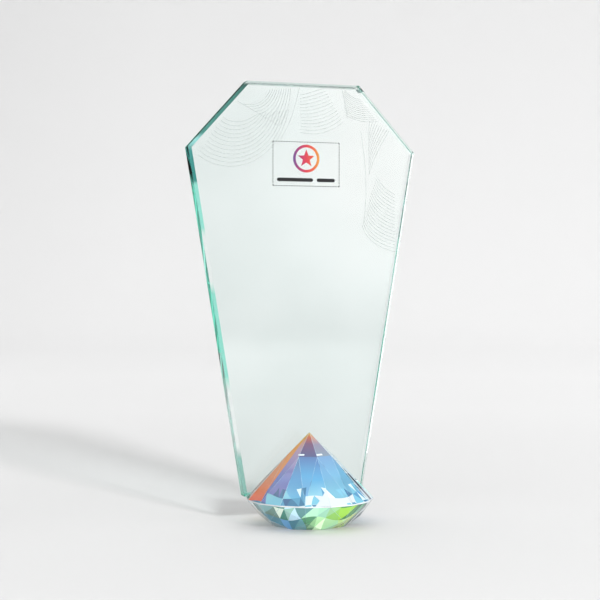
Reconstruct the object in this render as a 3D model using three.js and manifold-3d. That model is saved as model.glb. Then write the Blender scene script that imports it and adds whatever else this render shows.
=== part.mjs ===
// A glass plaque award standing on a cut-crystal diamond.
// The diamond is set upside down, on its table, and the plaque stands in a slot cut behind its point.
// Units are millimetres, +Z is up, and the plaque's printed face looks along -Y.
// The origin is the centre of the table, on the surface that the award stands on.

import * as THREE from "three";
import { ConvexGeometry } from "three/addons/geometries/ConvexGeometry.js";
import { mergeVertices } from "three/addons/utils/BufferGeometryUtils.js";
import Module from "manifold-3d";

// Diamond, a round brilliant cut resting on its table
const GIRDLE_RADIUS = 30;
const GIRDLE_Z = 12.4;
const GIRDLE_BAND = 0.6;
const POINT_Z = 43.2;
const TABLE_RADIUS = 18;
const MAIN_FACETS = 8;
const PAVILION_JUNCTION_SHARE = 0.375; // of the girdle radius, where the lower girdle facets meet the mains
const STAR_SHARE = 0.5; // of the way from table corner to girdle, where the star facets end

// Plaque, an elongated hexagon of flat glass
const OVERALL_HEIGHT = 208;
const SHOULDER_Z = 176.5;
const TOP_HALF_WIDTH = 28;
const SHOULDER_HALF_WIDTH = 56.5;
const FOOT_HALF_WIDTH = 29.5;
const PLAQUE_THICKNESS = 8;
const PLAQUE_FRONT_Y = 7;
const EDGE_BEVEL = 1.2;

// Clear adhesive between the plaque and the slot's two walls and floor
const BOND = 0.2;

const PLAQUE_BACK_Y = PLAQUE_FRONT_Y + PLAQUE_THICKNESS;
const SLOT_FLOOR_Z = GIRDLE_Z + GIRDLE_BAND / 2;
const PLAQUE_FOOT_Z = SLOT_FLOOR_Z + BOND;
// How far the cutting blocks run past the diamond, sideways and upwards
const CUTTER_REACH = 2 * GIRDLE_RADIUS;
const CUTTER_TOP = 2 * POINT_Z;
const MAIN_STEP = (2 * Math.PI) / MAIN_FACETS;
const HALF_STEP = MAIN_STEP / 2;

const wasm = await Module();
wasm.setup();

// A closed geometry as a solid that can be cut and joined
function solidOf(geometry) {
  geometry.deleteAttribute("normal");
  geometry.deleteAttribute("uv");
  const merged = mergeVertices(geometry);
  return new wasm.Manifold(
    new wasm.Mesh({
      numProp: 3,
      vertProperties: new Float32Array(merged.attributes.position.array),
      triVerts: new Uint32Array(merged.index.array),
    }),
  );
}

// A solid as a flat-shaded geometry
function geometryOf(solid) {
  const mesh = solid.getMesh();
  const indexed = new THREE.BufferGeometry();
  indexed.setAttribute("position", new THREE.BufferAttribute(mesh.vertProperties, 3));
  indexed.setIndex(new THREE.BufferAttribute(mesh.triVerts, 1));
  const flat = indexed.toNonIndexed();
  flat.computeVertexNormals();
  return flat;
}

// A block between two corners
function block(low, high) {
  const size = high.map((value, i) => value - low[i]);
  const centre = high.map((value, i) => (value + low[i]) / 2);
  return new THREE.BoxGeometry(...size).translate(...centre);
}

// A point at an angle round the diamond's axis, where 0 is the front and the angle grows towards +X
function around(angle, radius, z) {
  return new THREE.Vector3(radius * Math.sin(angle), -radius * Math.cos(angle), z);
}

function ring(count, start, radius, z) {
  return Array.from({ length: count }, (_, i) => around(start + (i * 2 * Math.PI) / count, radius, z));
}

// The facets are the convex hull of the cut's corners. A facet's plane rises along the middle
// of the facet, so a corner half a step away lies on it at its radius times cos(HALF_STEP).
function diamondGeometry() {
  const girdleTop = GIRDLE_Z + GIRDLE_BAND / 2;
  const girdleBottom = GIRDLE_Z - GIRDLE_BAND / 2;
  const pavilionSlope = (POINT_Z - girdleTop) / GIRDLE_RADIUS;
  const crownSlope = girdleBottom / (GIRDLE_RADIUS - TABLE_RADIUS);
  const junctionRadius = PAVILION_JUNCTION_SHARE * GIRDLE_RADIUS;
  const junctionZ = POINT_Z - pavilionSlope * junctionRadius * Math.cos(HALF_STEP);
  const starRadius = TABLE_RADIUS + STAR_SHARE * (GIRDLE_RADIUS - TABLE_RADIUS);
  const starZ = crownSlope * (starRadius * Math.cos(HALF_STEP) - TABLE_RADIUS);
  return new ConvexGeometry([
    new THREE.Vector3(0, 0, POINT_Z),
    ...ring(MAIN_FACETS, 0, junctionRadius, junctionZ),
    ...ring(2 * MAIN_FACETS, 0, GIRDLE_RADIUS, girdleTop),
    ...ring(2 * MAIN_FACETS, 0, GIRDLE_RADIUS, girdleBottom),
    ...ring(MAIN_FACETS, HALF_STEP, starRadius, starZ),
    ...ring(MAIN_FACETS, 0, TABLE_RADIUS, 0),
  ]);
}

// A flat-topped plate with sloped shoulders and sides that taper to the foot,
// drawn in X and Z and extruded along Y, with a polished bevel round both faces
function plaqueGeometry() {
  const outline = new THREE.Shape();
  outline.moveTo(-FOOT_HALF_WIDTH, PLAQUE_FOOT_Z);
  outline.lineTo(FOOT_HALF_WIDTH, PLAQUE_FOOT_Z);
  outline.lineTo(SHOULDER_HALF_WIDTH, SHOULDER_Z);
  outline.lineTo(TOP_HALF_WIDTH, OVERALL_HEIGHT);
  outline.lineTo(-TOP_HALF_WIDTH, OVERALL_HEIGHT);
  outline.lineTo(-SHOULDER_HALF_WIDTH, SHOULDER_Z);
  outline.closePath();
  const plate = new THREE.ExtrudeGeometry(outline, {
    depth: PLAQUE_THICKNESS - 2 * EDGE_BEVEL,
    bevelThickness: EDGE_BEVEL,
    bevelSize: EDGE_BEVEL,
    bevelOffset: -EDGE_BEVEL,
    bevelSegments: 1,
  });
  plate.rotateX(Math.PI / 2);
  plate.translate(0, PLAQUE_BACK_Y - EDGE_BEVEL, 0);
  return plate;
}

const gem = solidOf(diamondGeometry());

// The slot runs right across the diamond, from the girdle up
const slot = solidOf(
  block(
    [-CUTTER_REACH, PLAQUE_FRONT_Y - BOND, SLOT_FLOOR_Z],
    [CUTTER_REACH, PLAQUE_BACK_Y + BOND, CUTTER_TOP],
  ),
);
const plaqueRoom = solidOf(
  block(
    [-CUTTER_REACH, PLAQUE_FRONT_Y, PLAQUE_FOOT_Z],
    [CUTTER_REACH, PLAQUE_BACK_Y, CUTTER_TOP],
  ),
);

function piece(name, geometry, look) {
  const mesh = new THREE.Mesh(geometry, new THREE.MeshStandardMaterial(look));
  mesh.name = name;
  return mesh;
}

const award = new THREE.Group();
award.add(
  piece("crystal_diamond", geometryOf(gem.subtract(slot)), {
    color: 0x78b4dc,
    roughness: 0.04,
    metalness: 0.1,
    flatShading: true,
  }),
  piece("adhesive_bond", geometryOf(gem.intersect(slot).subtract(plaqueRoom)), {
    color: 0xe4ece8,
    roughness: 0.15,
    metalness: 0,
    flatShading: true,
  }),
  piece("glass_plaque", plaqueGeometry(), {
    color: 0xd8ebe4,
    roughness: 0.03,
    metalness: 0,
    flatShading: true,
  }),
);

export default award;
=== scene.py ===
import math

import bmesh
import bpy
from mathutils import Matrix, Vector


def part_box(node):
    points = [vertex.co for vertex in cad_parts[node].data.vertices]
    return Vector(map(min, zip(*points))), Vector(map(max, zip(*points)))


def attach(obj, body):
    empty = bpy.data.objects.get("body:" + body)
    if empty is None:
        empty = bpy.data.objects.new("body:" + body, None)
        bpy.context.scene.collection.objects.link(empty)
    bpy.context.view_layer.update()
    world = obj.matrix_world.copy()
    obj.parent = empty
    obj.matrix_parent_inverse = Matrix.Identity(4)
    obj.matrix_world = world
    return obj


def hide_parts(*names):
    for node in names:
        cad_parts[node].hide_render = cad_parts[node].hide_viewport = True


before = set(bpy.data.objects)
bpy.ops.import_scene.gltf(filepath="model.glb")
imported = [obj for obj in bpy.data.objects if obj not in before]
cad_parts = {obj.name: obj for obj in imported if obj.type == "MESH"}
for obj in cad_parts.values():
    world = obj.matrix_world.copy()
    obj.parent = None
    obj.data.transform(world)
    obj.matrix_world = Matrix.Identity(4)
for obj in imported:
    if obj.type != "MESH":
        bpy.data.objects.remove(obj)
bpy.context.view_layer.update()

MM = 0.001

# Places taken from the frame
PLAQUE_LOW, PLAQUE_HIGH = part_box("glass_plaque")
BOND_LOW, BOND_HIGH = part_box("adhesive_bond")
PLAQUE_FRONT = PLAQUE_LOW.y
APEX_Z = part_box("crystal_diamond")[1].z
SLOT_FLOOR_Z = BOND_LOW.z
FOOT_HALF_WIDTH = (BOND_HIGH.x - BOND_LOW.x) / 2

# Rounding of the ground edges, as polishing leaves them
PLAQUE_EDGE_ROUND = 0.15 * MM
FACET_EDGE_ROUND = 0.05 * MM


def srgb(red, green, blue):
    """A colour given as it is seen on a screen, 0 to 255, as the linear RGBA that shaders take."""
    def linear(value):
        value /= 255
        if value <= 0.04045:
            return value / 12.92
        return ((value + 0.055) / 1.055) ** 2.4
    return (linear(red), linear(green), linear(blue), 1.0)


# ---------------------------------------------------------------- node graphs


class Graph:
    """One material's node graph. Inputs may be plain values or other nodes' outputs."""

    def __init__(self, name):
        self.material = bpy.data.materials.new(name)
        self.material.use_nodes = True
        self.tree = self.material.node_tree
        self.tree.nodes.clear()

    def feed(self, socket, value):
        if isinstance(value, bpy.types.NodeSocket):
            self.tree.links.new(value, socket)
        else:
            socket.default_value = value

    def add(self, kind, inputs=None, **settings):
        made = self.tree.nodes.new(kind)
        for key, value in settings.items():
            setattr(made, key, value)
        for key, value in (inputs or {}).items():
            self.feed(made.inputs[key], value)
        return made

    def math(self, operation, a, b=0.0):
        return self.add("ShaderNodeMath", {0: a, 1: b}, operation=operation).outputs[0]

    def plus(self, a, b):
        return self.math("ADD", a, b)

    def times(self, a, b):
        return self.math("MULTIPLY", a, b)

    def above(self, value, low):
        """1 over low, 0 under it."""
        return self.math("GREATER_THAN", value, low)

    def below(self, value, high):
        """1 under high, 0 over it."""
        return self.math("LESS_THAN", value, high)

    def inside(self, value, low, high):
        """1 between low and high, 0 outside."""
        return self.times(self.above(value, low), self.below(value, high))

    def span(self, value, low, high):
        """0 at low, 1 at high, clamped."""
        return self.add("ShaderNodeMapRange", {0: value, 1: low, 2: high}).outputs[0]

    def mix(self, factor, a, b, blend="MIX"):
        made = self.add("ShaderNodeMix", {0: factor, 6: a, 7: b}, data_type="RGBA", blend_type=blend)
        return made.outputs[2]

    def ramp(self, value, stops, kind="LINEAR"):
        made = self.add("ShaderNodeValToRGB", {0: value})
        made.color_ramp.interpolation = kind
        elements = made.color_ramp.elements
        while len(elements) < len(stops):
            elements.new(1.0)
        for element, (place, colour) in zip(elements, stops):
            element.position = place
            element.color = colour
        return made.outputs[0]

    def point(self):
        """The surface point in the part's own frame, in metres."""
        return self.add("ShaderNodeTexCoord").outputs["Object"]

    def axes(self, point):
        """A point's x, y and z."""
        split = self.add("ShaderNodeSeparateXYZ", {0: point})
        return split.outputs[0], split.outputs[1], split.outputs[2]

    def face_value(self, name):
        """A number kept on each face of the mesh."""
        return self.add("ShaderNodeAttribute", attribute_name=name).outputs["Fac"]

    def noise(self, point, scale, detail=2.0):
        made = self.add("ShaderNodeTexNoise", {"Vector": point, "Scale": scale, "Detail": detail})
        return made.outputs["Fac"]

    def bump(self, height, distance, strength):
        made = self.add("ShaderNodeBump", {"Height": height, "Distance": distance, "Strength": strength})
        return made.outputs[0]

    def principled(self, **inputs):
        named = {key.replace("_", " "): value for key, value in inputs.items()}
        return self.add("ShaderNodeBsdfPrincipled", named).outputs[0]

    def lit_through(self, shader, tint):
        """The shader, except that lamps shine through the piece with that tint."""
        clear = self.add("ShaderNodeBsdfTransparent", {0: tint}).outputs[0]
        is_shadow = self.add("ShaderNodeLightPath").outputs["Is Shadow Ray"]
        return self.add("ShaderNodeMixShader", {0: is_shadow, 1: shader, 2: clear}).outputs[0]

    def finish(self, shader, volume=None):
        out = self.add("ShaderNodeOutputMaterial", {"Surface": shader})
        if volume is not None:
            self.feed(out.inputs["Volume"], volume)
        return self.material


# ---------------------------------------------------------------- materials

GLASS_IOR = 1.5
# What the glass lets through best, and how strongly a metre of it takes the rest away
GLASS_GREEN = (0.0, 0.83, 0.67, 1)
GLASS_DENSITY = 5.0
# Noise scales are cells per metre
PATCH_SCALE = 22.0
WAVE_SCALE = 35.0
WAVE_HEIGHT = 0.02 * MM
WAVE_STRENGTH = 0.3
NO_TINT = (1, 1, 1, 1)


def glass_depth(graph):
    """The green of iron in the glass, which deepens with the way through it."""
    depth = {"Color": GLASS_GREEN, "Density": GLASS_DENSITY}
    return graph.add("ShaderNodeVolumeAbsorption", depth).outputs[0]


# The left rim's tints by height up the plaque, from the foot (0) to the top (1): mint green glass, untinted
# white bands, and near the top dark bands of painted shade, which also darken the rim's reflections. The
# right rim stays pale
RIM_TINTS_AND_SHADE = [
    (0.00, (0.12, 0.38, 0.30, 1)),
    (0.095, (0.14, 0.40, 0.33, 1)),
    (0.125, (1.0, 1.0, 1.0, 1)),
    (0.25, (1.0, 1.0, 1.0, 1)),
    (0.29, (0.14, 0.74, 0.54, 1)),
    (0.49, (0.14, 0.74, 0.54, 1)),
    (0.52, (1.0, 1.0, 1.0, 1)),
    (0.625, (1.0, 1.0, 1.0, 1)),
    (0.645, (0.15, 0.80, 0.60, 1)),
    (0.748, (0.15, 0.80, 0.60, 1)),
    (0.756, (0.005, 0.12, 0.10, 1)),
    (0.83, (0.01, 0.16, 0.14, 1)),
    (0.855, (0.2, 0.75, 0.72, 1)),
    (0.87, (0.015, 0.13, 0.10, 1)),
    (0.96, (0.01, 0.08, 0.06, 1)),
    (0.992, (0.005, 0.03, 0.025, 1)),
    (0.996, (0.55, 0.66, 0.63, 1)),
]
PALE_RIM = (0.99, 1.0, 1.0, 1)
# The rim's tints run on across the top from this share of the height
TOP_RIM_RISE = 0.985
# The faces' soft patches, by noise
FACE_TINTS = [(0.38, (0.905, 0.95, 0.937, 1)), (0.6, (0.95, 0.988, 0.977, 1))]
# Painted shade and painted sheen: the faces are a little deeper to the left, and warmer and lighter to the
# upper right
FACE_SHADE_LEFT = (0.972, 0.979, 0.979, 1)
FACE_SHEEN_RIGHT_LOW = (0.985, 0.99, 0.99, 1)
FACE_SHEEN_RIGHT_HIGH = (1.014, 0.984, 0.984, 1)
RIGHT_SIDE = (0.0, 25 * MM)
HIGH_UP = (0.5, 0.75)
# How much lamp light each face lets through, by height and then from its left side to its right.
# The bevels bend light aside, and the upper part and the right rim dim it.
LAMP_SHARE_UP = [(0.0, (1.0, 1.0, 1.0, 1)), (0.3, (0.95, 0.96, 0.96, 1)), (0.75, (0.62, 0.64, 0.63, 1))]
LAMP_SHARE_ACROSS = [
    (0.03, (0.4, 0.45, 0.43, 1)),
    (0.06, (0.97, 0.98, 0.98, 1)),
    (0.5, (0.95, 0.96, 0.96, 1)),
    (0.8, (0.55, 0.58, 0.57, 1)),
    (0.95, (0.35, 0.4, 0.38, 1)),
]


def widest_height(node):
    """The height at which a CAD node reaches furthest to the side."""
    return max((vertex.co.x, vertex.co.z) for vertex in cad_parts[node].data.vertices)[1]


PLAQUE_FLARE = (PLAQUE_HIGH.x - FOOT_HALF_WIDTH) / widest_height("glass_plaque")


def face_tint_and_sheen(graph, point, x, rise):
    """Faint soft patches, with painted shade a little deeper to the left and a painted sheen warmer to the
    upper right.
    """
    patches = graph.ramp(graph.noise(point, PATCH_SCALE), FACE_TINTS)
    right_sheen = graph.mix(graph.span(rise, *HIGH_UP), FACE_SHEEN_RIGHT_LOW, FACE_SHEEN_RIGHT_HIGH)
    share = graph.mix(graph.span(x, *RIGHT_SIDE), FACE_SHADE_LEFT, right_sheen)
    return graph.mix(1.0, patches, share, "MULTIPLY")


def rim_tint_and_shade(graph, x, rise):
    """The left rim and the top are tinted by height, with painted shade in the dark bands, and the right
    rim is pale.
    """
    on_right = graph.times(graph.above(x, 0.0), graph.below(rise, TOP_RIM_RISE))
    return graph.mix(on_right, graph.ramp(rise, RIM_TINTS_AND_SHADE), PALE_RIM)


def lamp_share(graph, x, z, rise):
    """How much lamp light the plaque lets through at a point."""
    half_width = graph.plus(graph.times(z, PLAQUE_FLARE), FOOT_HALF_WIDTH)
    across = graph.span(graph.math("DIVIDE", x, half_width), -1.0, 1.0)
    share_up = graph.ramp(rise, LAMP_SHARE_UP)
    share_across = graph.ramp(across, LAMP_SHARE_ACROSS)
    return graph.mix(1.0, share_up, share_across, "MULTIPLY")


def plaque_glass():
    """Polished float glass with fine surface waves. Its faces and its rim have tints of their own, with
    painted sheen and shade on the faces and painted shade in the rim's dark bands.
    """
    graph = Graph("plaque_glass")
    point = graph.point()
    x, _, z = graph.axes(point)
    rise = graph.span(z, PLAQUE_LOW.z, PLAQUE_HIGH.z)
    on_rim = graph.face_value("rim")
    rim_colour_and_shade = rim_tint_and_shade(graph, x, rise)
    glass = graph.principled(
        Base_Color=graph.mix(on_rim, face_tint_and_sheen(graph, point, x, rise), rim_colour_and_shade),
        Roughness=0.0,
        IOR=GLASS_IOR,
        Transmission_Weight=1.0,
        # The rim's colours tint its reflections too, which paints shade into them in the dark bands
        Specular_Tint=graph.mix(on_rim, NO_TINT, rim_colour_and_shade),
        Normal=graph.bump(graph.noise(point, WAVE_SCALE, 0.0), WAVE_HEIGHT, WAVE_STRENGTH),
    )
    lit = graph.lit_through(glass, lamp_share(graph, x, z, rise))
    return graph.finish(lit, glass_depth(graph))


INK_GLOSS = 0.15
INK_GRAIN = 2500.0
# Where the cover is thin, ink is this many times lighter, plus a little that even black shows
THIN_COVER_GAIN = 1.15
THIN_COVER_LIFT = 0.01
EMBLEM_SHOW_THROUGH = 0.06
EMBLEM_RUN = [
    (0.0, srgb(64, 24, 104)),
    (0.25, srgb(132, 10, 75)),
    (0.5, srgb(168, 10, 40)),
    (0.75, srgb(174, 60, 25)),
    (1.0, srgb(176, 115, 18)),
]


def ink(name, colour):
    """Screen-printed ink, with the slightly uneven cover that printing leaves."""
    graph = Graph(name)
    cover = graph.noise(graph.point(), INK_GRAIN)
    lighter = [min(1.0, value * THIN_COVER_GAIN + THIN_COVER_LIFT) for value in colour[:3]]
    shade = graph.mix(cover, colour, (*lighter, 1))
    return graph.finish(graph.principled(Base_Color=shade, Roughness=0.4, Specular_IOR_Level=INK_GLOSS))


def emblem_ink(left, right):
    """A print that runs from purple through red to orange."""
    graph = Graph("emblem_ink")
    point = graph.point()
    x, _, _ = graph.axes(point)
    run = graph.ramp(graph.span(x, left, right), EMBLEM_RUN)
    thin = graph.times(graph.noise(point, INK_GRAIN), EMBLEM_SHOW_THROUGH)
    shade = graph.mix(thin, run, NO_TINT)
    return graph.finish(graph.principled(Base_Color=shade, Roughness=0.35, Specular_IOR_Level=INK_GLOSS))


BUBBLE_SCALE = 900.0
# A bubble's wall, as a share of its cell
BUBBLE_WALL = (0.12, 0.2)
BUBBLE_DEPTH = 0.02 * MM


def adhesive():
    """Cured clear adhesive with tiny bubbles."""
    graph = Graph("clear_adhesive")
    cells = graph.add("ShaderNodeTexVoronoi", {"Vector": graph.point(), "Scale": BUBBLE_SCALE})
    solid = graph.span(cells.outputs["Distance"], *BUBBLE_WALL)
    glue = graph.principled(
        Base_Color=graph.mix(solid, srgb(250, 252, 252), srgb(222, 234, 230)),
        Roughness=0.12,
        IOR=1.48,
        Transmission_Weight=0.45,
        Normal=graph.bump(solid, BUBBLE_DEPTH, 0.5),
    )
    return graph.finish(glue)


# ---------------------------------------------------------------- diamond coating

FULL_TURN = 360.0


def all_round(rows):
    """The rows with the first one again a full turn on, so that the colours meet."""
    angle, look = rows[0]
    return rows + [(angle + FULL_TURN, look)]


# How far up the pavilion the facets by the girdle end and only the mains go on to the point
JUNCTION = 0.652
TURN_START = -112.0
# Each row is a facet's direction round the diamond in degrees, 0 to the front and growing
# towards +X, with the coating's colours up the facet from the girdle (0) to the point (1).
PAVILION_COATING = all_round([
    (TURN_START, [(0.0, srgb(210, 108, 85)), (0.5, srgb(200, 138, 95)), (1.0, srgb(190, 172, 65))]),
    (-67.5, [(0.0, srgb(214, 84, 50)), (0.25, srgb(208, 118, 76)), (0.5, srgb(212, 140, 92)),
             (0.8, srgb(208, 142, 66)), (1.0, srgb(176, 158, 60))]),
    (-56, [(0.05, srgb(80, 98, 160)), (0.35, srgb(108, 122, 178)), (0.6, srgb(150, 134, 172)),
           (0.75, srgb(172, 144, 164)), (0.9, srgb(196, 138, 96)), (1.0, srgb(190, 158, 66))]),
    (-34, [(0.1, srgb(88, 160, 196)), (0.4, srgb(82, 134, 178)), (0.62, srgb(90, 114, 148))]),
    (-22.5, [(0.15, srgb(104, 158, 198)), (0.4, srgb(80, 148, 190)), (JUNCTION, srgb(76, 108, 156)),
             (JUNCTION + 0.01, srgb(72, 78, 118)), (0.84, srgb(104, 70, 98)),
             (0.93, srgb(166, 80, 44)), (1.0, srgb(175, 157, 56))]),
    (-11, [(0.15, srgb(124, 182, 202)), (0.35, srgb(78, 150, 192)), (0.62, srgb(76, 112, 160))]),
    (11, [(0.15, srgb(102, 165, 186)), (0.4, srgb(92, 148, 184)), (0.62, srgb(92, 136, 176))]),
    (22.5, [(0.15, srgb(104, 165, 186)), (0.4, srgb(94, 154, 188)), (JUNCTION, srgb(94, 136, 178)),
            (JUNCTION + 0.01, srgb(108, 126, 143)), (0.82, srgb(118, 113, 137)),
            (0.93, srgb(175, 124, 101)), (1.0, srgb(178, 155, 70))]),
    (56, [(0.1, srgb(55, 122, 152)), (0.5, srgb(66, 138, 172)), (1.0, srgb(150, 122, 122))]),
    (100, [(0.0, srgb(110, 190, 175)), (0.5, srgb(115, 180, 205)), (1.0, srgb(195, 160, 140))]),
    (150, [(0.0, srgb(175, 225, 160)), (0.5, srgb(150, 210, 205)), (1.0, srgb(212, 185, 130))]),
    (200, [(0.0, srgb(228, 205, 120)), (0.5, srgb(200, 190, 160)), (1.0, srgb(222, 185, 105))]),
])

# The same for the crown below the girdle, by direction only: broad upper facets, then the row by the table
UPPER_CROWN = all_round([
    (TURN_START, srgb(110, 118, 100)),
    (-92, srgb(130, 138, 122)),
    (-72, srgb(160, 198, 200)),
    (-62, srgb(110, 172, 168)),
    (-55, srgb(236, 254, 212)),
    (-46, srgb(84, 196, 160)),
    (-36, srgb(190, 234, 218)),
    (-26, srgb(144, 206, 216)),
    (-18, srgb(190, 252, 206)),
    (-4, srgb(164, 222, 192)),
    (6, srgb(176, 232, 150)),
    (14, srgb(148, 214, 16)),
    (26, srgb(66, 134, 90)),
    (40, srgb(120, 178, 142)),
    (60, srgb(170, 200, 185)),
    (100, srgb(110, 190, 220)),
    (135, srgb(120, 140, 205)),
    (165, srgb(196, 130, 180)),
    (200, srgb(225, 140, 95)),
    (228, srgb(200, 200, 90)),
])
LOWER_CROWN = all_round([
    (TURN_START, srgb(120, 165, 150)),
    (-80, srgb(96, 150, 160)),
    (-60, srgb(100, 168, 194)),
    (-40, srgb(86, 158, 188)),
    (-24, srgb(84, 156, 112)),
    (-14, srgb(190, 248, 180)),
    (0, srgb(206, 255, 190)),
    (14, srgb(190, 250, 196)),
    (24, srgb(240, 255, 112)),
    (40, srgb(120, 176, 90)),
    (80, srgb(130, 200, 190)),
    (120, srgb(120, 150, 210)),
    (165, srgb(210, 160, 170)),
    (210, srgb(230, 190, 100)),
])


def turned(graph, turn, coating, colour_of):
    """The coating's colour at a facet's direction, mixed between the two rows that it lies between."""
    colour = colour_of(coating[0][1])
    for (angle, _), (next_angle, next_look) in zip(coating, coating[1:]):
        share = graph.span(turn, angle, next_angle)
        colour = graph.mix(share, colour, colour_of(next_look))
    return colour


def skin(graph):
    """Where a point lies on the diamond: its direction in degrees and its height over the girdle in mm."""
    x, y, z = graph.axes(graph.point())
    turn = graph.math("ARCTAN2", x, graph.times(y, -1.0))
    bearing = graph.times(turn, math.degrees(1))
    rise = graph.times(graph.math("SUBTRACT", z, SLOT_FLOOR_Z), 1 / MM)
    return bearing, rise, z


# The shards' rows swell up and down with direction, and their sides sway, each by a wave
# of this pace and size. The pace is in radians per degree and per shard, the size in shards.
SWELL_PACE = 0.11
SWELL = 0.22
SWAY_PACE = 2.1
SWAY = 0.25


def wave(graph, value, pace, size):
    return graph.times(graph.math("SINE", graph.times(value, pace)), size)


def shards(graph, bearing, rise, width, height, lean):
    """Painted reflections of the far facets, in pieces: triangles between three sets of lines, of uneven
    width.
    A shard is width degrees wide and height mm high, and each row up shifts by lean of a shard.
    Gives each triangle's random numbers and its middle's bearing and rise."""
    up = graph.plus(graph.math("DIVIDE", rise, height), wave(graph, bearing, SWELL_PACE, SWELL))
    across = graph.plus(graph.math("DIVIDE", bearing, width), graph.times(up, lean))
    across = graph.plus(across, wave(graph, across, SWAY_PACE, SWAY))
    half_up = graph.times(up, 0.5)
    rising = graph.math("FLOOR", graph.plus(across, half_up))
    falling = graph.math("FLOOR", graph.math("SUBTRACT", across, half_up))
    row = graph.math("FLOOR", up)
    triangle = graph.add("ShaderNodeCombineXYZ", {0: rising, 1: falling, 2: row}).outputs[0]
    white_noise = graph.add("ShaderNodeTexWhiteNoise", {"Vector": triangle}).outputs["Color"]
    chance = graph.add("ShaderNodeSeparateColor", {0: white_noise}).outputs
    middle = graph.times(graph.plus(graph.plus(rising, falling), 1.0), 0.5)
    middle_up = graph.plus(row, 0.5)
    upright = graph.math("SUBTRACT", middle, graph.times(middle_up, lean))
    return chance, graph.times(upright, width), graph.times(middle_up, height)


# The left main facet shows amber to its left and the next facet's mauve to its right
LEFT_MAIN_TURN = -67.5
MAUVE_TURN = -56
AMBER_END = -70
SAME_TURN = 1

# The shards' painted reflections, from the darkest to the lightest
SHARD_REFLECTION_COLOURS = [
    (0.00, srgb(30, 62, 98)),
    (0.07, srgb(52, 96, 140)),
    (0.20, srgb(55, 118, 156)),
    (0.38, srgb(78, 150, 186)),
    (0.56, srgb(115, 190, 215)),
    (0.74, srgb(215, 240, 245)),
]
# What the crown's shards multiply its colour by: painted reflections, darker or brighter, up to painted
# highlights
CROWN_SHARD_REFLECTIONS = [
    (0.00, (0.12, 0.20, 0.19, 1)),
    (0.15, (0.40, 0.50, 0.53, 1)),
    (0.34, (0.95, 0.95, 0.95, 1)),
    (0.64, (1.12, 1.1, 1.12, 1)),
    (0.86, (1.8, 1.45, 1.8, 1)),
]
# Width in degrees, height in mm and lean of a shard
PAVILION_SHARD = (7.5, 3.6, 0.35)
CROWN_SHARD = (14.0, 6.3, -0.45)
# The pavilion's painted shard reflections reach up to a height in mm that differs from shard to shard,
# not at all on the amber facets, and higher on the right
SHARD_REACH_LEAST = 2.6
SHARD_REACH_VARIES = 6.5
SHARD_REACH_MORE = 7.0
AMBER_FACETS = (-68, -50)
RIGHT_FACETS = (42, 62)
# A painted shard reflection's lightness is part chance, and part grows from left to right
LIGHT_BY_CHANCE = 0.72
LIGHT_BY_SIDE = 0.28
LIGHTER_SIDE = (-70, 10)
# Bright glare: the lowest row of shards between two directions, above a line in mm over the girdle,
# and a spike to the front
WINDOW = (-11, 29)
WINDOW_SILL = 0.7
SPIKE_HEIGHT = 6.8
SPIKE_SLOPE = 0.5
GLARE = srgb(215, 225, 228)
# Painted shade and painted highlights: thin dark and pale lines down the coating by direction, from one
# degree to another
SHADE_AND_HIGHLIGHT_LINES = [
    (-104, -95, srgb(60, 42, 36)),
    (50, 54, srgb(205, 220, 225)),
    (54, 60, srgb(40, 60, 84)),
    (60, 66, srgb(205, 220, 225)),
]
# The same painted shade and highlight lines on the crown
CROWN_SHADE_AND_HIGHLIGHT_LINES = [
    (-101, -89, srgb(34, 40, 36)),
    (-89, -82, srgb(222, 230, 230)),
    (-82, -79, srgb(44, 66, 60)),
    (44, 49, srgb(40, 60, 50)),
    (49, 56, srgb(222, 230, 230)),
    (56, 66, srgb(46, 54, 50)),
]
# Small bright dashes just over the junction, from one degree to another
GLINTS = [(-50, -33), (0, 20)]
GLINT_OVER_JUNCTION = 1.0
GLINT_RISE = (APEX_Z - SLOT_FLOOR_Z) / MM * JUNCTION + GLINT_OVER_JUNCTION
GLINT_HALF = 0.3
LAMP_THROUGH_CRYSTAL = (0.93, 0.96, 0.96, 1)
CRYSTAL_IOR = 1.52
# How clear the coated crystal is, from 0 to 1. A shard of the pavilion is clearer than its smooth part
PAVILION_CLEARNESS = 0.22
SHARD_CLEARER_BY = 0.15
CROWN_CLEARNESS = 0.25
EDGE_CLEARNESS = 0.3


# Paints the lines of shade and highlight over the colour
def painted_lines(graph, colour, bearing, outlines):
    for low, high, line in outlines:
        colour = graph.mix(graph.inside(bearing, low, high), colour, line)
    return colour


def crystal(graph, colour, clearness):
    """Polished crystal under a thin coat, which lets through some of what is behind it."""
    shader = graph.principled(
        Base_Color=colour,
        Roughness=0.03,
        IOR=CRYSTAL_IOR,
        Transmission_Weight=clearness,
        Coat_Weight=0.3,
        Coat_Roughness=0.02,
    )
    return graph.finish(graph.lit_through(shader, LAMP_THROUGH_CRYSTAL))


def coated_turn(graph, bearing):
    """The facet's direction, which on the left main facet jumps to mauve at the end of the amber."""
    turn = graph.face_value("turn")
    on_left_main = graph.inside(turn, LEFT_MAIN_TURN - SAME_TURN, LEFT_MAIN_TURN + SAME_TURN)
    past_amber = graph.times(on_left_main, graph.above(bearing, AMBER_END))
    return graph.plus(turn, graph.times(past_amber, MAUVE_TURN - LEFT_MAIN_TURN))


def shows_shard_reflection(graph, chance, shard_bearing, shard_rise):
    """1 on the shards' painted reflections, 0 on the smooth coating above them."""
    limit = graph.plus(graph.times(chance, SHARD_REACH_VARIES), SHARD_REACH_LEAST)
    limit = graph.times(limit, graph.span(shard_bearing, *AMBER_FACETS))
    limit = graph.plus(limit, graph.times(graph.span(shard_bearing, *RIGHT_FACETS), SHARD_REACH_MORE))
    return graph.below(shard_rise, limit)


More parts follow.
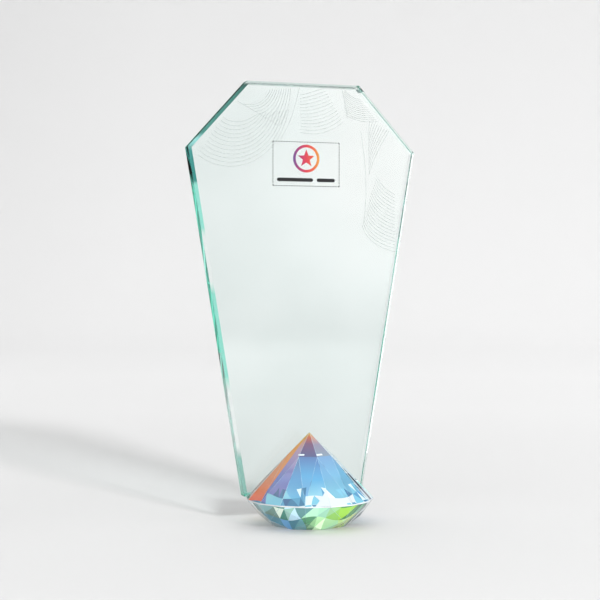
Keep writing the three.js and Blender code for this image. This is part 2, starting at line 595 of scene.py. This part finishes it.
def shard_reflection_colour(graph, chance, shard_bearing):
    by_side = graph.times(graph.span(shard_bearing, *LIGHTER_SIDE), LIGHT_BY_SIDE)
    lightness = graph.plus(graph.times(chance, LIGHT_BY_CHANCE), by_side)
    return graph.ramp(lightness, SHARD_REFLECTION_COLOURS, "CONSTANT")


def glare(graph, bearing, rise, shard_bearing, shard_rise):
    """1 where the pavilion throws the light back: the window, the spike and the glints."""
    _, row_height, _ = PAVILION_SHARD
    window = graph.times(graph.inside(shard_bearing, *WINDOW), graph.above(rise, WINDOW_SILL))
    window = graph.times(window, graph.below(shard_rise, row_height))
    slope = graph.times(graph.math("ABSOLUTE", bearing), SPIKE_SLOPE)
    spike = graph.below(graph.plus(slope, rise), SPIKE_HEIGHT)
    bright = graph.math("MAXIMUM", window, spike)
    on_ring = graph.inside(rise, GLINT_RISE - GLINT_HALF, GLINT_RISE + GLINT_HALF)
    for low, high in GLINTS:
        glint = graph.times(graph.inside(bearing, low, high), on_ring)
        bright = graph.math("MAXIMUM", bright, glint)
    return bright


def coated_pavilion():
    """The diamond's upper cone: rainbow coating by facet and height, with painted reflections in shards
    near the girdle, painted glare and painted lines of shade and highlight.
    """
    graph = Graph("coated_pavilion")
    bearing, rise, z = skin(graph)
    height = graph.span(z, SLOT_FLOOR_Z, APEX_Z)
    colour = turned(
        graph,
        coated_turn(graph, bearing),
        PAVILION_COATING,
        lambda stops: graph.ramp(height, stops),
    )
    chance, shard_bearing, shard_rise = shards(graph, bearing, rise, *PAVILION_SHARD)
    shard_reflection = shows_shard_reflection(graph, chance[1], shard_bearing, shard_rise)
    # Painted reflections in the shards
    colour = graph.mix(shard_reflection, colour, shard_reflection_colour(graph, chance[0], shard_bearing))
    colour = graph.mix(glare(graph, bearing, rise, shard_bearing, shard_rise), colour, GLARE)
    colour = painted_lines(graph, colour, bearing, SHADE_AND_HIGHLIGHT_LINES)
    clearness = graph.plus(graph.times(shard_reflection, SHARD_CLEARER_BY), PAVILION_CLEARNESS)
    return crystal(graph, colour, clearness)


def coated_crown():
    """The diamond below its girdle: each shard takes the colour of its direction, lighter or darker, as a
    painted reflection, with painted lines of shade and highlight.
    """
    graph = Graph("coated_crown")
    bearing, rise, _ = skin(graph)
    chance, shard_bearing, shard_rise = shards(graph, bearing, rise, *CROWN_SHARD)
    from_start = graph.math("SUBTRACT", shard_bearing, TURN_START)
    wrapped = graph.plus(graph.math("FLOORED_MODULO", from_start, FULL_TURN), TURN_START)
    upper = turned(graph, wrapped, UPPER_CROWN, lambda colour: colour)
    lower = turned(graph, wrapped, LOWER_CROWN, lambda colour: colour)
    _, row_height, _ = CROWN_SHARD
    coat = graph.mix(graph.below(shard_rise, -row_height), upper, lower)
    lightness = graph.ramp(chance[0], CROWN_SHARD_REFLECTIONS, "CONSTANT")
    colour = graph.mix(1.0, coat, lightness, "MULTIPLY")
    return crystal(graph, painted_lines(graph, colour, bearing, CROWN_SHADE_AND_HIGHLIGHT_LINES), CROWN_CLEARNESS)


# Painted highlights and painted shade on the edges, picked by noise
EDGE_HIGHLIGHTS_AND_SHADE = [(0.36, srgb(52, 66, 82)), (0.44, srgb(150, 185, 210)), (0.62, srgb(190, 220, 235))]
EDGE_CATCH_SCALE = 90.0


def edge_crystal():
    """The facets' worn edges, with painted highlights in places and painted shade in others."""
    graph = Graph("facet_edge_crystal")
    catch = graph.noise(graph.point(), EDGE_CATCH_SCALE)
    return crystal(graph, graph.ramp(catch, EDGE_HIGHLIGHTS_AND_SHADE), EDGE_CLEARNESS)


GROUND_GRAIN = 1400.0
GROUND_DETAIL = 3.0
GROUND_SHARE = 0.2
GROUND_DEPTH = 0.01 * MM
GROUND_SHADE = srgb(180, 200, 205)


def clear_crystal(name, tint, roughness):
    """Uncoated crystal with a fine ground grain: the girdle and the walls of the slot."""
    graph = Graph(name)
    grain = graph.noise(graph.point(), GROUND_GRAIN, GROUND_DETAIL)
    shader = graph.principled(
        Base_Color=graph.mix(graph.times(grain, GROUND_SHARE), tint, GROUND_SHADE),
        Roughness=roughness,
        IOR=CRYSTAL_IOR,
        Transmission_Weight=0.4,
        Normal=graph.bump(grain, GROUND_DEPTH, 0.4),
    )
    return graph.finish(shader)


# ---------------------------------------------------------------- pieces


SAME_PLACE = 0.001 * MM
SAME_PLANE = math.radians(0.2)
# A normal's share along an axis that counts as along it, and as square to it
ALONG_AXIS = 0.99
SQUARE_TO_AXIS = 0.01


def copy_of_node(node):
    """A CAD node's solid as a bmesh with its flat faces whole."""
    shape = bmesh.new()
    shape.from_mesh(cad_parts[node].data)
    bmesh.ops.remove_doubles(shape, verts=shape.verts, dist=SAME_PLACE)
    bmesh.ops.dissolve_limit(
        shape,
        angle_limit=SAME_PLANE,
        verts=shape.verts,
        edges=shape.edges,
    )
    shape.normal_update()
    return shape


def round_edges(shape, width, segments, material_index=-1):
    bmesh.ops.bevel(
        shape,
        geom=list(shape.edges),
        offset=width,
        segments=segments,
        affect="EDGES",
        profile=0.5,
        clamp_overlap=True,
        material=material_index,
    )


def add_piece(name, shape, materials, node=None):
    mesh = bpy.data.meshes.new(name)
    shape.to_mesh(mesh)
    shape.free()
    for material in materials:
        mesh.materials.append(material)
    piece = bpy.data.objects.new(name, mesh)
    bpy.context.scene.collection.objects.link(piece)
    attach(piece, "root")
    if node:
        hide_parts(node)
    return piece


def make_plaque():
    """The glass plate, with its rim (bevels, sides and rounded edges) marked face by face."""
    shape = copy_of_node("glass_plaque")
    rim = shape.faces.layers.float.new("rim")
    round_edges(shape, PLAQUE_EDGE_ROUND, 2)
    for face in shape.faces:
        face[rim] = 0.0 if abs(face.normal.y) > ALONG_AXIS else 1.0
    return add_piece("plaque", shape, [plaque_glass()], "glass_plaque")


def facet_turn(face):
    """A facet's direction round the diamond in degrees, within the turn that the coating covers."""
    angle = math.degrees(math.atan2(face.normal.x, -face.normal.y))
    return (angle - TURN_START) % FULL_TURN + TURN_START


PAVILION, CROWN, GIRDLE, SLOT_WALL, ROUNDED_EDGE = range(5)


def facet_kind(face):
    """Which of the diamond's materials a face has, from where it looks and how high it is."""
    if abs(face.normal.y) > ALONG_AXIS or face.normal.z > ALONG_AXIS:
        return SLOT_WALL
    if abs(face.normal.z) < SQUARE_TO_AXIS:
        return GIRDLE
    if face.calc_center_median().z > SLOT_FLOOR_Z:
        return PAVILION
    return CROWN


def make_diamond():
    """The cut crystal, with each facet's direction kept on its face and its edges a little worn."""
    shape = copy_of_node("crystal_diamond")
    turn = shape.faces.layers.float.new("turn")
    for face in shape.faces:
        face[turn] = facet_turn(face)
        face.material_index = facet_kind(face)
    round_edges(shape, FACET_EDGE_ROUND, 1, ROUNDED_EDGE)
    materials = [
        coated_pavilion(),
        coated_crown(),
        clear_crystal("girdle_crystal", srgb(255, 255, 255), 0.15),
        clear_crystal("slot_crystal", srgb(190, 215, 225), 0.35),
        edge_crystal(),
    ]
    add_piece("diamond", shape, materials, "crystal_diamond")


BOND_CLEARANCE = 0.03 * MM


def make_adhesive():
    """The cured film, drawn in a hair so that its skin never lies in the glass's or the crystal's."""
    shape = copy_of_node("adhesive_bond")
    for vertex in shape.verts:
        vertex.co -= vertex.normal * BOND_CLEARANCE
    add_piece("adhesive_film", shape, [adhesive()], "adhesive_bond")


# ---------------------------------------------------------------- print

PRINT_Y = PLAQUE_FRONT - 0.02 * MM
FINE_LINE = 0.16 * MM
CURVE_STEPS = 22

# Fans of fine lines on the plaque's face. Each is drawn between a first and a last curve,
# given by four control points in mm across and up the plaque, with the number of lines.
LINE_FANS = [
    ([(-52.2, 172.8), (-40, 162.5), (-14, 166.5), (-8, 195)],
     [(-40, 190.5), (-36, 187), (-29, 188), (-23.5, 192.5)], 12),
    ([(-13, 187), (-9, 192), (-7.5, 197), (-7, 205)],
     [(-30, 196.8), (-24, 196), (-20, 198), (-17, 204)], 10),
    ([(-2.5, 202), (2, 203.2), (6, 204.6), (10, 206)],
     [(-2, 184.5), (6, 183), (13, 185), (19, 190)], 13),
    ([(19.5, 206), (22, 203), (25, 201.5), (28.5, 201)],
     [(20, 194), (24, 191.5), (29, 190), (37, 191)], 12),
    ([(33, 191), (32.6, 188.5), (32.2, 186), (32, 183.5)],
     [(43, 186.5), (40, 182), (35, 174), (32.6, 165.5)], 9),
    ([(36.5, 165), (38.5, 161), (41.5, 158), (46, 156)],
     [(29.2, 141), (31, 134), (38, 130), (46, 128.5)], 18),
]
FOLD_LINES = [
    [(-33, 198), (-26, 194.4), (-19, 190.8), (-12.8, 187.2)],
    [(-2.6, 206), (-4, 200), (-6, 190), (-12, 181)],
    [(18.5, 206), (20.5, 200), (21, 196), (21.5, 192)],
    [(28.4, 186), (30.5, 172), (32.5, 158), (29.8, 142)],
]

# The printed panel, in mm across and up the plaque
PANEL_CENTRE = (0.8, 169.6)
PANEL_SIZE = (33.1, 20.8)
DASH = 0.75
DASH_GAP = 0.55
DASH_WIDTH = 0.42
STAR_CENTRE = (0.8, 172.2)
STAR_RADIUS = 4.4
RING_RADII = (5.3, 6.6)
RING_STEPS = 48
STAR_TIPS = 5
STAR_INNER_SHARE = 0.42
CAPTION_Z = 162.1
CAPTION_HEIGHT = 1.7
CAPTION_BARS = [(-13.8, 4.2), (6.0, 15.2)]
CAPTION_END_STEPS = 8


def bezier(points, t):
    """The point a share t along a cubic curve."""
    a, b, c, d = (Vector(point) for point in points)
    s = 1 - t
    return a * s**3 + b * (3 * s * s * t) + c * (3 * s * t * t) + d * t**3


def ribbon(shape, path, width):
    """A flat strip of ink along a path across the plaque's face."""
    previous = None
    for i, point in enumerate(path):
        before = path[max(i - 1, 0)]
        after = path[min(i + 1, len(path) - 1)]
        side = (after - before).normalized().orthogonal() * width / 2
        left, right = point * MM + side, point * MM - side
        rung = [shape.verts.new((end.x, PRINT_Y, end.y)) for end in (left, right)]
        if previous:
            shape.faces.new((previous[0], rung[0], rung[1], previous[1]))
        previous = rung


def curve_path(points):
    return [bezier(points, i / CURVE_STEPS) for i in range(CURVE_STEPS + 1)]


def between(first, last, share):
    return [Vector(a).lerp(Vector(b), share) for a, b in zip(first, last)]


def make_fine_lines():
    """The fans of fine lines and the folds between them, as one print."""
    shape = bmesh.new()
    for first, last, count in LINE_FANS:
        for i in range(count):
            ribbon(shape, curve_path(between(first, last, i / (count - 1))), FINE_LINE)
    for fold in FOLD_LINES:
        ribbon(shape, curve_path(fold), FINE_LINE)
    add_piece("fine_line_print", shape, [ink("fine_line_ink", srgb(135, 142, 140))])


def dashes(start, end):
    """The ends of the dashes that fill a straight line."""
    start, end = Vector(start), Vector(end)
    length = (end - start).length
    along = (end - start) / length
    count = round((length + DASH_GAP) / (DASH + DASH_GAP))
    step = (length + DASH_GAP) / count
    return [(start + along * step * i, start + along * (step * (i + 1) - DASH_GAP)) for i in range(count)]


def make_dashed_frame():
    """The dashed rectangle round the printed panel."""
    shape = bmesh.new()
    (x, z), (width, height) = PANEL_CENTRE, PANEL_SIZE
    corners = [
        (x + a * width / 2, z + b * height / 2)
        for a, b in ((-1, -1), (1, -1), (1, 1), (-1, 1))
    ]
    for start, end in zip(corners, corners[1:] + corners[:1]):
        for dash in dashes(start, end):
            ribbon(shape, dash, DASH_WIDTH * MM)
    add_piece("dashed_frame_print", shape, [ink("frame_ink", srgb(35, 36, 38))])


def flat_outline(shape, points):
    shape.faces.new([shape.verts.new((x * MM, PRINT_Y, z * MM)) for x, z in points])


def flat_ring(shape, centre, inner, outer):
    """A flat ring of ink on the plaque's face."""
    def rung(i):
        angle = 2 * math.pi * i / RING_STEPS
        return [
            shape.verts.new((
                (centre[0] + radius * math.cos(angle)) * MM,
                PRINT_Y,
                (centre[1] + radius * math.sin(angle)) * MM,
            ))
            for radius in (inner, outer)
        ]
    rungs = [rung(i) for i in range(RING_STEPS)]
    for here, following in zip(rungs, rungs[1:] + rungs[:1]):
        shape.faces.new((here[0], here[1], following[1], following[0]))


def make_star():
    """A plain five-pointed star in a ring, where a customer's own mark would be printed."""
    shape = bmesh.new()
    x, z = STAR_CENTRE
    _, ring_outer = RING_RADII
    points = []
    for i in range(2 * STAR_TIPS):
        angle = math.pi / 2 + i * math.pi / STAR_TIPS
        radius = STAR_RADIUS * (STAR_INNER_SHARE if i % 2 else 1.0)
        points.append((x + radius * math.cos(angle), z + radius * math.sin(angle)))
    flat_outline(shape, points)
    flat_ring(shape, STAR_CENTRE, *RING_RADII)
    material = emblem_ink((x - ring_outer) * MM, (x + ring_outer) * MM)
    add_piece("star_print", shape, [material])


def make_caption_bars():
    """Two plain bars where a caption would be."""
    shape = bmesh.new()
    radius = CAPTION_HEIGHT / 2
    for low, high in CAPTION_BARS:
        points = []
        for centre, start in ((high - radius, -90), (low + radius, 90)):
            for i in range(CAPTION_END_STEPS + 1):
                angle = math.radians(start + i * 180 / CAPTION_END_STEPS)
                points.append((centre + radius * math.cos(angle), CAPTION_Z + radius * math.sin(angle)))
        flat_outline(shape, points)
    add_piece("caption_bar_print", shape, [ink("caption_ink", srgb(20, 21, 23))])


# ---------------------------------------------------------------- studio

FLOOR_RADIUS = 1.9
BEND_RADIUS = 1.1
WALL_TOP = 3.2
BEND_STEPS = 16
SWEEP_SIDES = 96


def sweep_profile():
    """The floor's edge, the bend and the wall, as radius and height."""
    points = [(FLOOR_RADIUS, 0.0)]
    for i in range(1, BEND_STEPS + 1):
        angle = i / BEND_STEPS * math.pi / 2
        points.append((
            FLOOR_RADIUS + BEND_RADIUS * math.sin(angle),
            BEND_RADIUS * (1 - math.cos(angle)),
        ))
    points.append((FLOOR_RADIUS + BEND_RADIUS, WALL_TOP))
    return points


# Painted shade: the paper's lightness by distance from the award, as a share of PAPER_REACH metres, darker
# near the award where the lamps light it most
PAPER_BY_REACH = [(0.05, 0.592), (0.12, 0.634), (0.2, 0.692), (0.35, 0.757), (0.65, 0.817), (1.0, 0.763)]
PAPER_REACH = 3.0
# Painted shade: the paper is dimmer towards one side: its share there and at the other, SIDE_REACH metres
# out
BRIGHT_SIDE = (0.947, -0.322, 0.0)
SIDE_REACH = 0.8
SIDE_SHADE_SHARES = [(0.0, 0.89), (0.25, 0.96), (1.0, 1.03)]
# The floor in front lies under the key lamp, so it is mixed with this share of this grey:
# more and more from one y to the other, and less and less up the wall, from z 0 to the other z
UNDER_KEY_Y = (-0.03, -0.75)
UNDER_KEY_Z = (0.4, 0.0)
UNDER_KEY_SHARE = 0.5
UNDER_KEY_GREY = 0.35
FIBRE_SCALE = 300.0
FIBRE_DETAIL = 4.0
FIBRE_SHARE = 0.04
FIBRE_TONE = 0.9


def grey(tone):
    return (tone, tone, tone, 1)


def greys(stops):
    return [(place, grey(tone)) for place, tone in stops]


def sweep_paper():
    """Pale matt background paper with a fine grain, a little darker on the floor than up the wall, with
    painted shade near the award, under the key lamp and towards one side.
    """
    graph = Graph("sweep_paper")
    point = graph.point()
    x, y, z = graph.axes(point)
    flat = graph.add("ShaderNodeCombineXYZ", {0: x, 1: y}).outputs[0]
    reach = graph.add("ShaderNodeVectorMath", {0: flat}, operation="LENGTH").outputs["Value"]
    paper = graph.ramp(graph.math("DIVIDE", reach, PAPER_REACH), greys(PAPER_BY_REACH))
    side_dot = graph.add("ShaderNodeVectorMath", {0: point, 1: BRIGHT_SIDE}, operation="DOT_PRODUCT")
    sideways = graph.span(side_dot.outputs["Value"], -SIDE_REACH, SIDE_REACH)
    paper = graph.mix(1.0, paper, graph.ramp(sideways, greys(SIDE_SHADE_SHARES)), "MULTIPLY")
    under_key = graph.times(graph.span(y, *UNDER_KEY_Y), graph.span(z, *UNDER_KEY_Z))
    paper = graph.mix(graph.times(under_key, UNDER_KEY_SHARE), paper, grey(UNDER_KEY_GREY))
    fibres = graph.times(graph.noise(point, FIBRE_SCALE, FIBRE_DETAIL), FIBRE_SHARE)
    shade = graph.mix(fibres, paper, grey(FIBRE_TONE))
    return graph.finish(graph.principled(Base_Color=shade, Roughness=0.9, Specular_IOR_Level=0.0))


def studio_object(name, shape, material):
    mesh = bpy.data.meshes.new(name)
    shape.to_mesh(mesh)
    shape.free()
    mesh.materials.append(material)
    thing = bpy.data.objects.new(name, mesh)
    bpy.context.scene.collection.objects.link(thing)
    return thing


def make_sweep():
    """A round studio sweep: a floor that bends up into a wall on every side."""
    shape = bmesh.new()
    centre = shape.verts.new((0, 0, 0))
    rings = []
    for radius, z in sweep_profile():
        rings.append([
            shape.verts.new((
                radius * math.cos(2 * math.pi * i / SWEEP_SIDES),
                radius * math.sin(2 * math.pi * i / SWEEP_SIDES),
                z,
            ))
            for i in range(SWEEP_SIDES)
        ])
    for i in range(SWEEP_SIDES):
        j = (i + 1) % SWEEP_SIDES
        shape.faces.new((centre, rings[0][i], rings[0][j]))
        for low, high in zip(rings, rings[1:]):
            shape.faces.new((low[i], high[i], high[j], low[j]))
    sweep = studio_object("studio_sweep", shape, sweep_paper())
    sweep.data.shade_smooth()


# The board's corners across and up, its distance behind the award, and its paint by height, in metres
FLAG_LOW = (-0.28, 0.0)
FLAG_HIGH = (0.6, 0.55)
FLAG_Y = 0.6
FLAG_TONES = [(0.145, (0.3, 0.95, 0.75, 1)), (0.16, (0.01, 0.012, 0.012, 1))]
BRUSH_SCALE = 40.0
BRUSH_SHARE = 0.02
BRUSH_TONE = 0.5


def flag_board():
    """Painted board: dark above, mint below, with an uneven brushed coat."""
    graph = Graph("flag_board")
    point = graph.point()
    _, _, z = graph.axes(point)
    brush_marks = graph.times(graph.noise(point, BRUSH_SCALE), BRUSH_SHARE)
    paint = graph.mix(brush_marks, graph.ramp(z, FLAG_TONES), grey(BRUSH_TONE))
    return graph.finish(graph.principled(Base_Color=paint, Roughness=0.8))


def make_flag():
    """A board behind the award that only mirror reflections see.
    It keeps the left rim and the diamond's right facets deep in colour."""
    shape = bmesh.new()
    (left, bottom), (right, top) = FLAG_LOW, FLAG_HIGH
    corners = ((left, bottom), (right, bottom), (right, top), (left, top))
    shape.faces.new([shape.verts.new((x, FLAG_Y, z)) for x, z in corners])
    flag = studio_object("dark_flag", shape, flag_board())
    flag.visible_camera = False
    flag.visible_diffuse = False
    flag.visible_transmission = False
    flag.visible_shadow = False


def on_bearing(azimuth, elevation, distance, centre):
    """A point at a direction from centre. Azimuth 0 is in front of the award and grows towards +X."""
    a = math.radians(azimuth)
    e = math.radians(elevation)
    return Vector(centre) + distance * Vector((
        math.sin(a) * math.cos(e),
        -math.cos(a) * math.cos(e),
        math.sin(e),
    ))


def aim(thing, target):
    """Turns a lamp or the camera to look at a point."""
    thing.rotation_mode = "QUATERNION"
    thing.rotation_quaternion = (Vector(target) - thing.location).to_track_quat("-Z", "Y")


def graded(light, across, up):
    """Makes a lamp's brightness follow two ramps, one across its face and one up it."""
    light.use_nodes = True
    tree = light.node_tree
    emission = next(n for n in tree.nodes if n.type == "EMISSION")
    spot = tree.nodes.new("ShaderNodeNewGeometry")
    split = tree.nodes.new("ShaderNodeSeparateXYZ")
    tree.links.new(spot.outputs["Parametric"], split.inputs[0])
    product = tree.nodes.new("ShaderNodeMath")
    product.operation = "MULTIPLY"
    for i, stops in enumerate((across, up)):
        ramp = tree.nodes.new("ShaderNodeValToRGB")
        ramp.color_ramp.interpolation = "EASE"
        elements = ramp.color_ramp.elements
        while len(elements) < len(stops):
            elements.new(1.0)
        for element, (place, value) in zip(elements, stops):
            element.position = place
            element.color = grey(value)
        tree.links.new(split.outputs[i], ramp.inputs[0])
        tree.links.new(ramp.outputs[0], product.inputs[i])
    tree.links.new(product.outputs[0], emission.inputs["Strength"])


LAMP_TARGET = (0, 0, 0.1)
EVEN = [(0.0, 1.0), (1.0, 1.0)]
# The sheen card is dimmer at its left edge, dark at its foot and brightest at its top
SHEEN_ACROSS = [(0.0, 0.3), (0.35, 1.0), (1.0, 1.0)]
SHEEN_UP = [(0.07, 0.0), (0.25, 0.85), (0.4, 0.95), (0.6, 1.4)]


def add_softbox(name, azimuth, elevation, distance, size, power, spread=180, across=EVEN, up=EVEN):
    """A rectangular lamp that looks at the award, placed in degrees and metres, with its power in watts."""
    light = bpy.data.lights.new(name, "AREA")
    light.shape = "RECTANGLE"
    light.size, light.size_y = size
    light.energy = power
    light.spread = math.radians(spread)
    graded(light, across, up)
    box = bpy.data.objects.new(name, light)
    box.location = on_bearing(azimuth, elevation, distance, LAMP_TARGET)
    aim(box, LAMP_TARGET)
    box.visible_camera = False
    box.visible_transmission = False
    bpy.context.scene.collection.objects.link(box)
    return box


def make_key():
    """The main lamp, from the front and a little to the right, which no mirror reflection sees."""
    key = add_softbox(
        "key_softbox", azimuth=13, elevation=22, distance=2.4, size=(0.3, 0.3), power=27, spread=120,
    )
    key.visible_glossy = False


def make_sheen_card():
    """A wide dim card to the right that the plaque's face mirrors softly."""
    card = add_softbox(
        "sheen_card", azimuth=27, elevation=11, distance=1.6, size=(0.9, 0.95), power=9,
        across=SHEEN_ACROSS, up=SHEEN_UP,
    )
    card.visible_diffuse = False


def make_rim_card():
    """A small card beside the award that draws the white line down the plaque's right rim."""
    card = add_softbox(
        "rim_card", azimuth=108, elevation=-2, distance=0.18, size=(0.12, 0.24), power=0.36,
    )
    card.visible_diffuse = False
    return card


def light_only(lamp, piece):
    """Makes a lamp light one piece and nothing else."""
    lit = bpy.data.collections.new(lamp.name + "_lights")
    lit.objects.link(piece)
    lamp.light_linking.receiver_collection = lit


SKY_STRENGTH = 1.36


def make_world():
    """An even white light from all round."""
    world = bpy.data.worlds.new("studio")
    world.use_nodes = True
    background = world.node_tree.nodes["Background"]
    background.inputs["Color"].default_value = (1, 1, 1, 1)
    background.inputs["Strength"].default_value = SKY_STRENGTH
    bpy.context.scene.world = world


# The camera stands to the left of the front, a little over half the award's height
CAMERA_AZIMUTH = -18.77
CAMERA_DISTANCE = 0.6653
CAMERA_HEIGHT = 0.1145
CAMERA_TARGET = (-0.0042, 0.0014, 0.1053)


def make_camera():
    data = bpy.data.cameras.new("camera")
    data.sensor_width = 36
    data.lens = 85
    data.clip_start = 0.05
    data.clip_end = 50
    camera = bpy.data.objects.new("camera", data)
    camera.location = on_bearing(CAMERA_AZIMUTH, 0, CAMERA_DISTANCE, (0, 0, CAMERA_HEIGHT))
    aim(camera, CAMERA_TARGET)
    bpy.context.scene.collection.objects.link(camera)
    bpy.context.scene.camera = camera


LIGHT_BOUNCES = 32


def set_look():
    """Glass and cut crystal need many inner reflections, and white paper must stay white."""
    scene = bpy.context.scene
    scene.view_settings.view_transform = "Standard"
    scene.cycles.max_bounces = LIGHT_BOUNCES
    scene.cycles.glossy_bounces = LIGHT_BOUNCES
    scene.cycles.transmission_bounces = LIGHT_BOUNCES


make_camera()
make_world()
make_key()
make_sheen_card()
rim_card = make_rim_card()
make_sweep()
make_flag()
set_look()
plaque = make_plaque()
light_only(rim_card, plaque)
make_diamond()
make_adhesive()
make_fine_lines()
make_dashed_frame()
make_star()
make_caption_bars()
